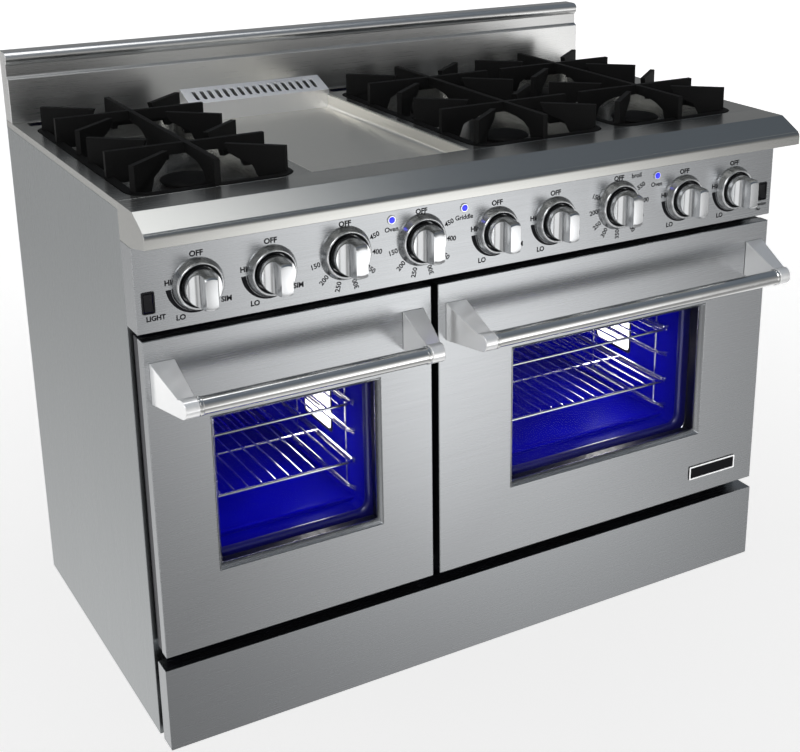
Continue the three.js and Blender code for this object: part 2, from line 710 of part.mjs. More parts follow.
addSidePanels();
addRearPanel();
addBasePan();
addFeet();
addKickPanel();
addBackguard();
addCooktop();
addLedge();
addGrates();
addBurners();
addGriddle();
addGriddleGuard();
addControlPanel();
addControls();
addSwitches();
addGasManifold();
for (const oven of OVENS) {
  addOvenLiner(oven);
  addRacks(oven);
  addDoor(oven);
}
addFan();

const frontmost = HANDLE.axisY - POST.noseRadius;
range.position.y = -(frontmost + DEPTH) / 2;

export default range;
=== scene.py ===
"""A freestanding gas range with two ovens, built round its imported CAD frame.

Lengths are millimetres in the row frame until make() turns them into metres.
+Z is up, +X is to the right seen from the front, and +Y is towards the wall.
"""

import json
import math

import bmesh
import bpy
from mathutils import Matrix, Vector


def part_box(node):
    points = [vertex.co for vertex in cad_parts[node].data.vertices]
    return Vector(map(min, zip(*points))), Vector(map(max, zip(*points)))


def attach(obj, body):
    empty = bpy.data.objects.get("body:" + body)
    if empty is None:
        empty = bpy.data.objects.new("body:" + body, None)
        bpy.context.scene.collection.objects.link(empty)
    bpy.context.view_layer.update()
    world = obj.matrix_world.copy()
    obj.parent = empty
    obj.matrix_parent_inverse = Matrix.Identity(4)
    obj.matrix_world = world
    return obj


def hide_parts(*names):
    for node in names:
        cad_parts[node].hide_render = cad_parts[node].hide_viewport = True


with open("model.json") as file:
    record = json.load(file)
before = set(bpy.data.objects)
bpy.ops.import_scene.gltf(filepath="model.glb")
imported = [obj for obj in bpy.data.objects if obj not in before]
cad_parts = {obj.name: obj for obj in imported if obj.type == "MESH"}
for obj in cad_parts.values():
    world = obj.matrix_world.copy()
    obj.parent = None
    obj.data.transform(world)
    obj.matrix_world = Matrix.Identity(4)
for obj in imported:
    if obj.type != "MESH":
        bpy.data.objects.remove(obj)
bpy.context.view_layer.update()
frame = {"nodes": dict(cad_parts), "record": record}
MM = 0.001
SHARP = 32  # degrees between faces past which an edge counts as sharp

COLUMNS = ("left", "middle", "right")
OVENS = ("left", "right")
BURNER_KNOBS = ("burner_1", "burner_2", "burner_3", "burner_4", "burner_5", "burner_6")
THERMOSTATS = ("left_oven", "griddle", "right_oven")


def extent(node):
    """A CAD node's lowest and highest corners, in millimetres."""
    lo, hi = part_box(node)
    return lo / MM, hi / MM


def middle(node):
    lo, hi = extent(node)
    return (lo + hi) / 2


# ---- Shapes ----


class Shape:
    """Closed forms, in millimetres, gathered into one mesh."""

    def __init__(self):
        self.verts = []
        self.faces = []

    def add(self, verts, faces):
        base = len(self.verts)
        self.verts += [tuple(v) for v in verts]
        self.faces += [tuple(base + i for i in face) for face in faces]
        return self

    def loft(self, rings, closed=False):
        """Rings of equally many points joined in turn; the ends are capped, or joined if closed."""
        n = len(rings[0])
        count = len(rings)
        faces = []
        for k in range(count if closed else count - 1):
            a, b = k * n, (k + 1) % count * n
            for i in range(n):
                j = (i + 1) % n
                faces.append((a + i, a + j, b + j, b + i))
        if not closed:
            faces.append(tuple(reversed(range(n))))
            faces.append(tuple(range((count - 1) * n, count * n)))
        return self.add([p for ring in rings for p in ring], faces)

    def prism(self, outline, axis, start, end):
        """An outline in the two other axes, run along axis."""
        return self.loft([[on_plane(axis, u, v, w) for u, v in outline] for w in (start, end)])

    def turned(self, profile, centre, axis="z", steps=40, closed=False):
        """A profile of (radius, distance along axis) turned about an axis through centre."""
        rings = []
        for radius, along in profile:
            ring = []
            for i in range(steps):
                turn = math.tau * i / steps
                point = on_plane(axis, radius * math.cos(turn), radius * math.sin(turn), along)
                ring.append(Vector(point) + Vector(centre))
            rings.append(ring)
        return self.loft(rings, closed)

    def tube(self, path, radius, steps=10, closed=False):
        """A round wire along a path, its frame carried from point to point without twist."""
        points = [Vector(p) for p in path]
        count = len(points)
        side = None
        rings = []
        for i, point in enumerate(points):
            before = points[i - 1] if i or closed else point
            after = points[(i + 1) % count] if i < count - 1 or closed else point
            ahead = (after - before).normalized()
            if side is None:
                side = ahead.orthogonal().normalized()
            side = (side - ahead * side.dot(ahead)).normalized()
            up = ahead.cross(side)
            turns = [math.tau * k / steps for k in range(steps)]
            rings.append([point + radius * (side * math.cos(t) + up * math.sin(t)) for t in turns])
        return self.loft(rings, closed)


def on_plane(axis, u, v, w):
    """The point with (u, v) in the two other axes and w along axis."""
    return {"x": (w, u, v), "y": (u, w, v), "z": (u, v, w)}[axis]


def arc(cx, cy, radius, start, end, steps):
    """Points on an arc, its ends given in degrees."""
    turns = [math.radians(start + (end - start) * i / steps) for i in range(steps + 1)]
    return [(cx + radius * math.cos(t), cy + radius * math.sin(t)) for t in turns]


def rounded(x0, x1, z0, z1, radius, steps=6):
    """A rectangle with rounded corners."""
    r = min(radius, (x1 - x0) / 2, (z1 - z0) / 2)
    corners = ((x1 - r, z1 - r, 0), (x0 + r, z1 - r, 90), (x0 + r, z0 + r, 180), (x1 - r, z0 + r, 270))
    return [p for cx, cz, start in corners for p in arc(cx, cz, r, start, start + 90, steps)]


def bent(path, radius, steps=5):
    """A path with its inner corners rounded."""
    points = [Vector(p) for p in path]
    out = [points[0]]
    for before, corner, after in zip(points, points[1:], points[2:]):
        into, away = (before - corner).normalized(), (after - corner).normalized()
        reach = min(radius, (before - corner).length / 2, (after - corner).length / 2)
        start, end = corner + into * reach, corner + away * reach
        for i in range(steps + 1):
            t = i / steps
            out.append(start * (1 - t) ** 2 + corner * 2 * t * (1 - t) + end * t**2)
    return out + [points[-1]]


def solid(name, shape):
    """An object from a shape, with its faces turned outward."""
    mesh = bpy.data.meshes.new(name)
    mesh.from_pydata([tuple(c * MM for c in v) for v in shape.verts], [], shape.faces)
    mended = bmesh.new()
    mended.from_mesh(mesh)
    bmesh.ops.recalc_face_normals(mended, faces=mended.faces)
    mended.to_mesh(mesh)
    mended.free()
    obj = bpy.data.objects.new(name, mesh)
    bpy.context.scene.collection.objects.link(obj)
    return obj


def make(name, shape, material, body, bevel=0.0, segments=2, replaces=(), sharp=SHARP):
    """One named piece from a shape, riding on a body."""
    obj = solid(name, shape)
    obj.data.materials.append(material)
    settle(obj, body, bevel, segments, replaces, sharp)


def settle(obj, body, bevel, segments, replaces, sharp):
    """Smooths and bevels a piece, and ties it to its body and the CAD nodes it stands for."""
    soften(obj, bevel, segments, sharp)
    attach(obj, body)
    if replaces:
        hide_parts(*replaces)


def soften(obj, bevel, segments, sharp):
    """Smooth shading, with edges sharper than so many degrees bevelled, or left sharp where bevel is 0."""
    mesh = obj.data
    mesh.polygons.foreach_set("use_smooth", [True] * len(mesh.polygons))
    if bevel:
        rounder = obj.modifiers.new("edges", "BEVEL")
        rounder.width = bevel * MM
        rounder.segments = segments
        rounder.limit_method = "ANGLE"
        rounder.angle_limit = math.radians(sharp)
        rounder.harden_normals = True
    else:
        mesh.set_sharp_from_angle(angle=math.radians(sharp))


def keep(node, material, bevel=0.8, segments=2):
    """A CAD node shown as it is, with its own material and softened edges."""
    obj = frame["nodes"][node]
    obj.material_slots[0].material = material
    if "custom_normal" in obj.data.attributes:
        obj.data.attributes.remove(obj.data.attributes["custom_normal"])
    weld = obj.modifiers.new("weld", "WELD")
    weld.merge_threshold = 0.005 * MM
    soften(obj, bevel, segments, SHARP)


# ---- Materials ----


class Wiring:
    """A node tree being wired."""

    def __init__(self, tree):
        self.tree = tree

    def node(self, kind, **settings):
        made = self.tree.nodes.new(kind)
        for key, value in settings.items():
            setattr(made, key, value)
        return made

    def link(self, source, target):
        self.tree.links.new(source, target)

    def ramp(self, value, stops):
        """A value mapped through (position, colour or grey) stops."""
        made = self.node("ShaderNodeValToRGB")
        elements = made.color_ramp.elements
        while len(elements) < len(stops):
            elements.new(0.5)
        for element, (position, shade) in zip(list(elements), stops):
            element.position = position
            rgb = (shade,) * 3 if isinstance(shade, (int, float)) else shade
            element.color = (*rgb, 1)
        self.link(value, made.inputs["Fac"])
        return made.outputs["Color"]

    def mix(self, factor, a, b, blend="MIX"):
        """Two colours mixed; each input is a socket, a number or a colour."""
        made = self.node("ShaderNodeMix", data_type="RGBA", blend_type=blend)
        for socket, value in ((made.inputs[0], factor), (made.inputs[6], a), (made.inputs[7], b)):
            if isinstance(value, bpy.types.NodeSocket):
                self.link(value, socket)
            elif isinstance(value, (int, float)):
                socket.default_value = value
            else:
                socket.default_value = (*value, 1)
        return made.outputs[2]


class Paint(Wiring):
    """A procedural material being wired: object coordinates in, one Principled shader out."""

    def __init__(self, name, metallic=0.0, coat=0.0, coat_roughness=0.05, anisotropic=0.0, specular=0.5):
        self.material = bpy.data.materials.new(name)
        self.material.use_nodes = True
        super().__init__(self.material.node_tree)
        self.shader = self.tree.nodes["Principled BSDF"]
        self.shader.inputs["Metallic"].default_value = metallic
        self.shader.inputs["Coat Weight"].default_value = coat
        self.shader.inputs["Coat Roughness"].default_value = coat_roughness
        self.shader.inputs["Anisotropic"].default_value = anisotropic
        self.shader.inputs["Specular IOR Level"].default_value = specular
        self.coords = self.tree.nodes.new("ShaderNodeTexCoord").outputs["Object"]

    def noise(self, scale, detail=3.0, stretch=(1, 1, 1), roughness=0.55):
        mapping = self.node("ShaderNodeMapping")
        mapping.inputs["Scale"].default_value = stretch
        self.link(self.coords, mapping.inputs["Vector"])
        texture = self.node("ShaderNodeTexNoise")
        texture.inputs["Scale"].default_value = scale
        texture.inputs["Detail"].default_value = detail
        texture.inputs["Roughness"].default_value = roughness
        self.link(mapping.outputs["Vector"], texture.inputs["Vector"])
        return texture.outputs["Fac"]

    def edges(self, low=0.5, high=0.56):
        """1 on convex edges and 0 elsewhere."""
        point = self.node("ShaderNodeNewGeometry").outputs["Pointiness"]
        return self.ramp(point, [(low, 0.0), (high, 1.0)])

    def bump(self, height, strength, distance):
        made = self.node("ShaderNodeBump")
        made.inputs["Strength"].default_value = strength
        made.inputs["Distance"].default_value = distance * MM
        self.link(height, made.inputs["Height"])
        if self.shader.inputs["Normal"].links:
            self.link(self.shader.inputs["Normal"].links[0].from_socket, made.inputs["Normal"])
        self.link(made.outputs["Normal"], self.shader.inputs["Normal"])

    def set(self, colour, roughness=None):
        self.link(colour, self.shader.inputs["Base Color"])
        if roughness is not None:
            self.link(roughness, self.shader.inputs["Roughness"])


def brushed(name, base, roughness, grain, anisotropic=0.6, spread=0.03, tint=0.015):
    """Steel rubbed along one axis: long fine scratches, highlights drawn out across them, and a painted
    highlight brightening its edges.
    """
    paint = Paint(name, metallic=1.0, anisotropic=anisotropic)
    stretch = {"x": (0.006, 1, 1), "y": (1, 0.006, 1), "z": (1, 1, 0.006)}[grain]
    scratches = paint.noise(1400, 2, stretch)
    bands = paint.noise(260, 2, stretch)
    clouds = paint.noise(2.5, 2)
    dark = [c * (1 - tint) for c in base]
    light = [min(1, c * (1 + tint)) for c in base]
    colour = paint.ramp(bands, [(0.3, dark), (0.7, light)])
    # Painted highlight: convex edges painted brighter.
    colour = paint.mix(paint.edges(), colour, [min(1, c * 1.25) for c in base])
    rough = paint.ramp(scratches, [(0.3, roughness - spread), (0.7, roughness + spread)])
    smears = paint.ramp(clouds, [(0.35, 0.0), (0.75, 0.05)])
    rough = paint.mix(smears, rough, (0.55,) * 3)
    paint.set(colour, rough)
    paint.bump(scratches, 0.02, 0.01)
    tangent = paint.node("ShaderNodeCombineXYZ")
    tangent.inputs["XYZ".index(grain.upper())].default_value = 1
    paint.link(tangent.outputs["Vector"], paint.shader.inputs["Tangent"])
    paint.shader.inputs["Anisotropic Rotation"].default_value = 0.25
    return paint.material


def polished(name, base, roughness, tint=0.04, metallic=1.0):
    """Chrome or ground steel with faint wipe marks and a painted highlight brightening its edges."""
    paint = Paint(name, metallic=metallic)
    wipes = paint.noise(35, 4, (1, 1, 0.35))
    fine = paint.noise(700, 2)
    colour = paint.ramp(wipes, [(0.3, [c * (1 - tint) for c in base]), (0.7, base)])
    # Painted highlight: convex edges painted brighter.
    colour = paint.mix(paint.edges(), colour, [min(1, c * 1.15) for c in base])
    paint.set(colour, paint.ramp(wipes, [(0.3, roughness), (0.75, roughness + 0.07)]))
    paint.bump(fine, 0.05, 0.01)
    return paint.material


def enamel(name, dark, light, roughness, coat=1.0, specular=0.5, self_glow=0.0):
    """Porcelain enamel over a slightly rippled ground; the last argument makes it glow in its own colour,
    painted light that fills its shade.
    """
    paint = Paint(name, coat=coat, coat_roughness=0.04, specular=specular)
    ripples = paint.noise(45, 2)
    specks = paint.noise(1500, 1)
    colour = paint.ramp(paint.noise(9, 3), [(0.3, dark), (0.7, light)])
    colour = paint.mix(paint.edges(0.52, 0.6), colour, [c * 0.6 for c in dark])
    paint.set(colour, paint.ramp(specks, [(0.3, roughness), (0.7, roughness + 0.08)]))
    # Painted light: the enamel glows in its own colour, so its shaded parts never go dark.
    paint.link(colour, paint.shader.inputs["Emission Color"])
    paint.shader.inputs["Emission Strength"].default_value = self_glow
    paint.bump(ripples, 0.10, 0.2)
    return paint.material


def cast(name, base, roughness):
    """Cast iron under matt porcelain: pitted, with a painted highlight making its edges paler."""
    paint = Paint(name, specular=0.08)
    pits = paint.noise(650, 4)
    clouds = paint.noise(18, 4)
    colour = paint.ramp(clouds, [(0.3, [c * 0.75 for c in base]), (0.75, [c * 1.3 for c in base])])
    # Painted highlight: convex edges painted paler.
    colour = paint.mix(paint.edges(0.5, 0.62), colour, [c * 2.4 for c in base])
    paint.set(colour, paint.ramp(pits, [(0.3, roughness - 0.08), (0.7, roughness + 0.1)]))
    paint.bump(pits, 0.35, 0.12)
    return paint.material


def moulded(name, base, roughness, specular=0.5):
    """Moulded plastic or print with a fine grain, and a painted highlight making its edges paler."""
    paint = Paint(name, specular=specular)
    grain = paint.noise(1800, 2)
    colour = paint.ramp(paint.noise(60, 3), [(0.3, [c * 0.8 for c in base]), (0.7, [c * 1.2 for c in base])])
    # Painted highlight: convex edges painted paler.
    colour = paint.mix(paint.edges(0.5, 0.6), colour, [min(1, c * 1.9) for c in base])
    paint.set(colour, paint.ramp(grain, [(0.3, roughness - 0.05), (0.7, roughness + 0.08)]))
    paint.bump(grain, 0.15, 0.03)
    return paint.material


def zinc(name, base):
    """Galvanised sheet: large pale and dark spangles, and a painted highlight making its edges paler."""
    paint = Paint(name, metallic=0.9)
    cells = paint.node("ShaderNodeTexVoronoi")
    cells.inputs["Scale"].default_value = 70
    paint.link(paint.coords, cells.inputs["Vector"])
    dark, light = [c * 0.8 for c in base], [c * 1.15 for c in base]
    colour = paint.ramp(cells.outputs["Distance"], [(0.1, dark), (0.7, light)])
    # Painted highlight: convex edges painted paler.
    colour = paint.mix(paint.edges(), colour, [min(1, c * 1.3) for c in base])
    paint.set(colour, paint.ramp(paint.noise(40, 4), [(0.3, 0.42), (0.7, 0.6)]))
    paint.bump(cells.outputs["Distance"], 0.08, 0.05)
    return paint.material


def clear_glass(name):
    """A clear pane that mirrors more at a glance, with faint wipe marks."""
    paint = Paint(name)
    paint.tree.nodes.remove(paint.shader)
    clear = paint.node("ShaderNodeBsdfTransparent")
    clear.inputs["Color"].default_value = (0.93, 0.94, 0.97, 1)
    gloss = paint.node("ShaderNodeBsdfAnisotropic")
    wipes = paint.ramp(paint.noise(12, 4), [(0.4, 0.02), (0.8, 0.09)])
    paint.link(wipes, gloss.inputs["Roughness"])
    facing = paint.node("ShaderNodeFresnel")
    facing.inputs["IOR"].default_value = 1.09
    both = paint.node("ShaderNodeMixShader")
    paint.link(facing.outputs["Fac"], both.inputs["Fac"])
    paint.link(clear.outputs["BSDF"], both.inputs[1])
    paint.link(gloss.outputs["BSDF"], both.inputs[2])
    paint.link(both.outputs["Shader"], paint.tree.nodes["Material Output"].inputs["Surface"])
    return paint.material


def glowing(name, colour, strength, ribs):
    """A lit lens: brighter and dimmer ribs under a gloss face."""
    paint = Paint(name, coat=0.6)
    lines = paint.noise(60, 2, ribs)
    paint.set(paint.ramp(lines, [(0.3, [c * 0.8 for c in colour]), (0.7, colour)]))
    paint.link(paint.ramp(lines, [(0.3, [c * 0.85 for c in colour]), (0.7, colour)]),
               paint.shader.inputs["Emission Color"])
    paint.shader.inputs["Emission Strength"].default_value = strength
    return paint.material


SIDE_STEEL = brushed("side_steel", (0.31, 0.325, 0.33), 0.28, "z", 0.2)
FRONT_STEEL = brushed("front_steel", (0.38, 0.39, 0.40), 0.26, "x", 0.3, spread=0.015)
# The kick panel is the front steel painted darker: painted shade low down by the floor.
SHADED_KICK_STEEL = brushed("kick_steel_shaded", (0.33, 0.34, 0.35), 0.26, "x", 0.3, spread=0.015)
TOP_STEEL = brushed("cooktop_steel", (0.50, 0.50, 0.48), 0.25, "x", 0.4, spread=0.015)
GUARD_STEEL = brushed("backguard_steel", (0.68, 0.68, 0.67), 0.28, "x", 0.2, spread=0.015)
FLUE_STEEL = brushed("flue_guard_steel", (0.86, 0.87, 0.90), 0.46, "x", 0.2)
GRIDDLE_STEEL = brushed("griddle_steel", (0.70, 0.685, 0.64), 0.38, "x", 0.3, spread=0.05)
ZINC = zinc("galvanised_steel", (0.5, 0.51, 0.52))
FOOT_STEEL = polished("foot_steel", (0.42, 0.43, 0.44), 0.35)
IRON = cast("cast_iron", (0.0026, 0.0026, 0.0026), 0.6)
BURNER_IRON = cast("burner_iron", (0.016, 0.015, 0.015), 0.5)
# The oven shell's blue glows faintly (the last 0.05): painted light filling the cavity's shade.
GLOWING_BLUE_ENAMEL = enamel("blue_enamel", (0.0010, 0.0006, 0.50), (0.002, 0.001, 0.68), 0.25, 0, 0.01, 0.05)
# The oven mouth: the shell's blue enamel, glossier and painted far darker, as painted shade on the rolled
# mouth.
SHADED_MOUTH_ENAMEL = enamel("mouth_enamel_shaded", (0.002, 0.0015, 0.13), (0.003, 0.0025, 0.19), 0.3, 1.0)
BLACK_ENAMEL = enamel("black_enamel", (0.004, 0.004, 0.010), (0.006, 0.006, 0.014), 0.35, 0.15, 0.25)
CHROME = polished("handle_chrome", (0.76, 0.76, 0.75), 0.13)
# The handle posts: a paler, partly matt copy of the handle chrome, painted brighter so their sloping tops
# look lit.
LIT_POST_STEEL = polished("post_steel_lit", (0.90, 0.90, 0.90), 0.17, metallic=0.62)
WIRE_CHROME = polished("rack_wire", (0.78, 0.77, 0.76), 0.16)
KNOB_CHROME = polished("knob_steel", (0.68, 0.69, 0.70), 0.19)
BRASS = polished("brass", (0.68, 0.52, 0.25), 0.3)
FAN_STEEL = polished("fan_steel", (0.5, 0.5, 0.5), 0.35)
BLACK_PLASTIC = moulded("black_plastic", (0.005, 0.005, 0.006), 0.45, 0.25)
INK = moulded("printed_ink", (0.004, 0.004, 0.005), 0.6, 0.1)
PALE_INK = moulded("pale_ink", (0.75, 0.75, 0.74), 0.45)
ROPE = moulded("gasket_rope", (0.05, 0.05, 0.055), 0.85)
GLASS = clear_glass("oven_glass")
LAMP = glowing("oven_lamp", (1.0, 0.96, 0.86), 4.0, (1, 0.1, 1))
BLUE_LENS = glowing("indicator_lens", (0.03, 0.035, 1.0), 1.0, (1, 1, 1))

# ---- Pieces made only of CAD nodes ----


def dress_cabinet():
    for side in OVENS:
        keep(f"{side}_side_panel", SIDE_STEEL, 0.9)
        keep(f"{side}_door_skin", FRONT_STEEL, 1.6, 3)
        keep(f"{side}_door_liner", BLACK_ENAMEL, 1.2)
        frame["nodes"][f"{side}_door_glass"].material_slots[0].material = GLASS
        for end in ("front", "rear"):
            keep(f"{end}_{side}_foot", FOOT_STEEL, 0.6)
    keep("control_panel", FRONT_STEEL, 0.8)
    keep("kick_panel", SHADED_KICK_STEEL, 1.0)
    keep("cooktop", TOP_STEEL, 0.9)
    keep("griddle_guard", FLUE_STEEL, 0.5)
    keep("rear_panel", ZINC, 0.4)
    keep("base_pan", ZINC, 0.5)
    keep("gas_manifold", BRASS, 1.0)
    keep("convection_fan", FAN_STEEL, 0.4)
    for name in (*BURNER_KNOBS, *THERMOSTATS):
        keep(f"{name}_stem", BRASS, 0.3)
    for name in ("light_switch", "fan_switch"):
        keep(name, BLACK_PLASTIC, 0.8, 3)
    for column in COLUMNS:
        keep(f"{column}_grate", IRON, 1.3)


# ---- Steel that curves ----


def build_ledge():
    """The bullnose ledge: flat, sloped apron, rounded nose and an underside running back."""
    lo, hi = extent("front_ledge")
    panel_front = extent("control_panel")[0].y
    nose_radius = 10
    nose_z = hi.z - 31
    outline = [(hi.y, hi.z), (hi.y - 64.7, hi.z), (lo.y + 4.5, hi.z - 21.6)]
    outline += arc(lo.y + nose_radius, nose_z, nose_radius, 119, 180, 8)[1:]
    outline += [(lo.y, lo.z + 13.5), (panel_front, lo.z), (hi.y, lo.z)]
    shape = Shape().prism(outline, "x", lo.x, hi.x)
    make("ledge_skin", shape, TOP_STEEL, "root", 1.4, 3, ["front_ledge"], sharp=20)


def build_backguard():
    """The rear trim: an upright face, a recessed band and a rolled cap."""
    lo, hi = extent("backguard")
    roll = 11.25
    band_low, band_high, band_depth = hi.z - 46.5, hi.z - 22.5, 7
    outline = [(hi.y, lo.z), (hi.y, hi.z)]
    outline += arc(lo.y + roll, hi.z - roll, roll, 90, 225, 14)
    outline += [(lo.y + band_depth, band_high), (lo.y + band_depth, band_low + 4)]
    outline += [(lo.y, band_low), (lo.y, lo.z)]
    shape = Shape().prism(outline, "x", lo.x, hi.x)
    make("backguard_skin", shape, GUARD_STEEL, "root", 0.8,
         replaces=["backguard"], sharp=20)


def build_griddle():
    """A thick plate, open to the rear, with low splash walls filleted into the cooking surface."""
    lo, hi = extent("griddle_plate")
    surface, wall, fillet = lo.z + 12, 4, 7
    bend = arc(fillet, fillet, fillet, 180, 270, 6)
    left = [(lo.x + wall + u, surface + v) for u, v in bend]
    right = [(hi.x - wall - u, surface + v) for u, v in reversed(bend)]
    outline = [(lo.x, lo.z), (lo.x, hi.z), (lo.x + wall, hi.z), *left]
    outline += [*right, (hi.x - wall, hi.z), (hi.x, hi.z), (hi.x, lo.z)]
    shape = Shape().prism(outline, "y", lo.y, hi.y)
    front = [(lo.y + wall + u, surface + v) for u, v in bend]
    outline = [(lo.y, lo.z + 1), (lo.y, hi.z), (lo.y + wall, hi.z), *front, (front[-1][0], lo.z + 1)]
    shape.prism(outline, "x", lo.x + wall, hi.x - wall)
    make("griddle_top", shape, GRIDDLE_STEEL, "griddle_plate", 0.9,
         replaces=["griddle_plate"], sharp=40)


# ---- Control panel ----

BEZEL_RADIUS = 40.5
BEZEL_DEPTH = 14
PRINT = 0.15  # thickness of a printed mark

# Letter sizes, each with how far its strokes are thickened.
OFF_PRINT, SCALE_PRINT, DIAL_PRINT = (12, 0.42), (11.5, 0.42), (11.5, 0.28)
LAMP_PRINT, LIGHT_PRINT, FAN_PRINT = (11, 0.25), (10.5, 0.42), (8, 0.2)


def lettering(shape, words, print_size, x, z, front, turn=0.0):
    """Flat raised letters on the panel, centred on (x, z) and turned by degrees."""
    size, thickened = print_size
    curve = bpy.data.curves.new("words", "FONT")
    curve.body = words
    curve.size = size
    curve.resolution_u = 3
    curve.extrude = PRINT / 2
    curve.offset = thickened
    curve.align_x = "CENTER"
    curve.align_y = "CENTER"
    holder = bpy.data.objects.new("words", curve)
    bpy.context.scene.collection.objects.link(holder)
    bpy.context.view_layer.update()
    mesh = bpy.data.meshes.new_from_object(holder)
    spin = Matrix.Rotation(math.radians(turn), 3, "Z")
    turned = [spin @ v.co for v in mesh.vertices]
    verts = [(x + p.x, front - PRINT / 2 - p.z, z + p.y) for p in turned]
    shape.add(verts, [tuple(f.vertices) for f in mesh.polygons])
    bpy.data.objects.remove(holder)
    bpy.data.curves.remove(curve)
    bpy.data.meshes.remove(mesh)


def flame_scale(shape, x, z, front):
    """The printed wedge that thins from the high setting to the low one."""
    near = BEZEL_RADIUS + 1
    inner = arc(x, z, near, 182, 278, 20)
    steps = len(inner) - 1
    outer = []
    for i, (px, pz) in enumerate(inner):
        reach = 1 + (7 * (1 - i / steps) + 1) / near
        outer.append((x + (px - x) * reach, z + (pz - z) * reach))
    shape.prism(outer + inner[::-1], "y", front - PRINT, front)


def tick(shape, x, z, dx, dz, front):
    """A short radial line between a bezel and the figure at (dx, dz) from its centre."""
    away = Vector((dx, dz)).normalized()
    across = Vector((-away.y, away.x)) * 0.6
    ends = [away * (BEZEL_RADIUS + 0.2), away * (BEZEL_RADIUS + 2.6)]
    outline = [ends[0] - across, ends[1] - across, ends[1] + across, ends[0] + across]
    shape.prism([(x + p.x, z + p.y) for p in outline], "y", front - PRINT, front)


# Each word's or figure's place from its knob's centre.
OFF_RISE = 47
BURNER_WORDS = {"HI": (-45, 9), "LO": (-29, -47), "SIM": (43, -31)}
SMALL_DIAL = {
    "150": (-52, -13), "200": (-38, -38), "250": (-14, -53), "300": (16, -53), "350": (43, -34),
    "400": (55, -7), "450": (51, 20),
}
LARGE_DIAL = {
    "150": (-48, 20), "200": (-52, -7), "250": (-44, -31), "300": (-28, -46), "350": (0, -53),
    "400": (31, -46), "450": (48, -26), "500": (58, 0), "550": (49, 27), "broil": (38, 47),
}


def build_panel_marks():
    """Lettering and flame scales printed on the control panel."""
    front = extent("control_panel")[0].y
    shape = Shape()
    for name in BURNER_KNOBS:
        at = middle(f"{name}_knob")
        lettering(shape, "OFF", OFF_PRINT, at.x, at.z + OFF_RISE, front)
        for words, (dx, dz) in BURNER_WORDS.items():
            lettering(shape, words, SCALE_PRINT, at.x + dx, at.z + dz, front)
        flame_scale(shape, at.x, at.z, front)
    for name in THERMOSTATS:
        at = middle(f"{name}_knob")
        lettering(shape, "OFF", OFF_PRINT, at.x, at.z + OFF_RISE, front)
        dial = LARGE_DIAL if name == "right_oven" else SMALL_DIAL
        for words, (dx, dz) in dial.items():
            outward = math.degrees(math.atan2(dz, dx))
            turn = outward if dx > 22 else outward + 180  # read outward on the right, inward elsewhere
            if words == "broil":
                turn = 0
            else:
                tick(shape, at.x, at.z, dx, dz, front)
            lettering(shape, words, DIAL_PRINT, at.x + dx, at.z + dz, front, turn)
    switch = middle("light_switch")
    lettering(shape, "LIGHT", LIGHT_PRINT, switch.x + 10, switch.z - 25, front)
    switch = middle("fan_switch")
    for words, drop in (("Convection", 24), ("Fan", 33)):
        lettering(shape, words, FAN_PRINT, switch.x - 8, switch.z - drop, front)
    for name, (x, z) in lamp_places().items():
        words = "Griddle" if name == "griddle" else "Oven"
        lettering(shape, words, LAMP_PRINT, x, z - 16, front)
    make("panel_marks", shape, INK, "root")


def lamp_places():
    """The indicator beside each thermostat."""
    z = extent("control_panel")[0].z + 110.5
    beside = {"left_oven": 81, "griddle": 79, "right_oven": 83}
    return {name: (middle(f"{name}_knob").x + along, z) for name, along in beside.items()}


def build_indicators():
    """Three domed blue lenses in plated rims."""
    front = extent("control_panel")[0].y
    radius, rim, dome = 5.2, -1.8, 3.2
    for name, (x, z) in lamp_places().items():
        profile = [(radius, 0), (7.4, 0), (7.4, -1.2), (6.6, -2.2), (5.4, -2.2), (radius, -1.6)]
        ring = Shape().turned(profile, (x, front, z), "y", 32, True)
        make(f"{name}_indicator_ring", ring, KNOB_CHROME, "root")
        profile = [(radius, 1.5), (radius, rim)]
        profile += [(radius * math.cos(t), rim - dome * math.sin(t)) for t in (0.3, 0.6, 0.9, 1.2, 1.45)]
        lens = Shape().turned(profile, (x, front, z), "y", 28)
        make(f"{name}_indicator_lens", lens, BLUE_LENS, "root")


def build_switch_frames():
    """A moulded frame round each rocker."""
    front = extent("control_panel")[0].y
    half_width, half_height = 7.3, 14.5
    inner = [(0.2, 1, 1), (0.2, 1, -1.0), (0.8, 1.4, -1.8)]
    outer = [(2.0, 2.2, -1.8), (2.6, 2.6, -1.0), (2.6, 2.6, 0)]
    for name in ("light_switch", "fan_switch"):
        at = middle(name)
        rings = []
        for grow, radius, y in inner + outer:
            across, up = half_width + grow, half_height + grow
            outline = rounded(at.x - across, at.x + across, at.z - up, at.z + up, radius, 3)
            rings.append([(u, front + y, v) for u, v in outline])
        make(f"{name}_frame", Shape().loft(rings, True), BLACK_PLASTIC, "root")


